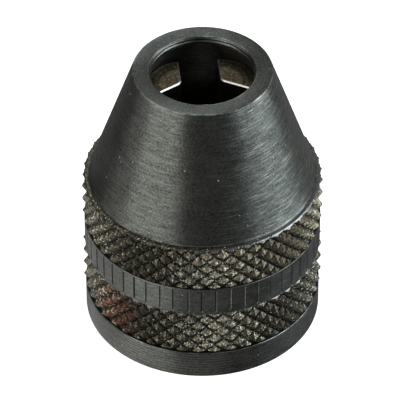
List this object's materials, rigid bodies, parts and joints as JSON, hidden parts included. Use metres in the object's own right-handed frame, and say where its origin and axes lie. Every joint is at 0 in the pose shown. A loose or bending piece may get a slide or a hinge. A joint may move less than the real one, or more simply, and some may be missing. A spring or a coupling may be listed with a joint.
{
  "type": "drill chuck",
  "caption": "Keyless drill chuck: knurled steel sleeve with a cone nose, turned to close three spring-loaded jaws over a threaded spindle body.",
  "frame": {"origin": "centre of the sleeve's rear rim, on the plane that the chuck stands on", "axes": "+Z along the chuck's axis towards the nose; +X and +Y across it, with the first jaw at 36 degrees from +X towards +Y"},
  "size_m": [0.0174, 0.0174, 0.0215],
  "materials": {
    "blued_steel": "turned and black-oxided, satin, brown in the knurls",
    "ground_steel": "turned and ground, straw-tinted from hardening",
    "turned_steel": "fine turned, lightly oiled",
    "spring_steel": "drawn spring wire"
  },
  "bodies": {
    "sleeve": {"sleeve": "blued_steel", "retaining_ring": "spring_steel"},
    "thrust_washer": {"thrust_washer": "ground_steel"},
    "spindle_body": {"spindle_body": "turned_steel"},
    "jaw_1": {"jaw_1": "ground_steel"},
    "jaw_2": {"jaw_2": "ground_steel"},
    "jaw_3": {"jaw_3": "ground_steel"},
    "jaw_spring_1": {"jaw_spring_1": "spring_steel"},
    "jaw_spring_2": {"jaw_spring_2": "spring_steel"},
    "jaw_spring_3": {"jaw_spring_3": "spring_steel"}
  },
  "joints": [
    {"name": "body_feed", "type": "slide", "parent": "sleeve", "child": "thrust_washer", "axis": [0, 0, 1], "range_m": [0, 0.00445]},
    {"name": "body_turn", "type": "hinge", "parent": "thrust_washer", "child": "spindle_body", "pos_m": [0, 0, 0.005], "axis": [0, 0, 1], "range_deg": [0, 1602]},
    {"name": "jaw_1_slide", "type": "slide", "parent": "thrust_washer", "child": "jaw_1", "axis": [-0.809, -0.5878, 0], "range_m": [0, 0.00155]},
    {"name": "jaw_2_slide", "type": "slide", "parent": "thrust_washer", "child": "jaw_2", "axis": [0.9135, -0.4067, 0], "range_m": [0, 0.00155]},
    {"name": "jaw_3_slide", "type": "slide", "parent": "thrust_washer", "child": "jaw_3", "axis": [-0.1045, 0.9945, 0], "range_m": [0, 0.00155]},
    {"name": "jaw_spring_1_slide", "type": "slide", "parent": "thrust_washer", "child": "jaw_spring_1", "axis": [0.1045, -0.9945, 0], "range_m": [0, 0.000775], "deforming": ["jaw_spring_1"]},
    {"name": "jaw_spring_2_slide", "type": "slide", "parent": "thrust_washer", "child": "jaw_spring_2", "axis": [0.809, 0.5878, 0], "range_m": [0, 0.000775], "deforming": ["jaw_spring_2"]},
    {"name": "jaw_spring_3_slide", "type": "slide", "parent": "thrust_washer", "child": "jaw_spring_3", "axis": [-0.9135, 0.4067, 0], "range_m": [0, 0.000775], "deforming": ["jaw_spring_3"]}
  ],
  "couplings": [
    {"joint": "body_feed", "follows": "body_turn", "m_per_rad": 0.00015915},
    {"joint": "jaw_1_slide", "follows": "body_turn", "m_per_rad": 0.000055424},
    {"joint": "jaw_2_slide", "follows": "body_turn", "m_per_rad": 0.000055424},
    {"joint": "jaw_3_slide", "follows": "body_turn", "m_per_rad": 0.000055424},
    {"joint": "jaw_spring_1_slide", "follows": "body_turn", "m_per_rad": 0.000027712},
    {"joint": "jaw_spring_2_slide", "follows": "body_turn", "m_per_rad": 0.000027712},
    {"joint": "jaw_spring_3_slide", "follows": "body_turn", "m_per_rad": 0.000027712}
  ]
}
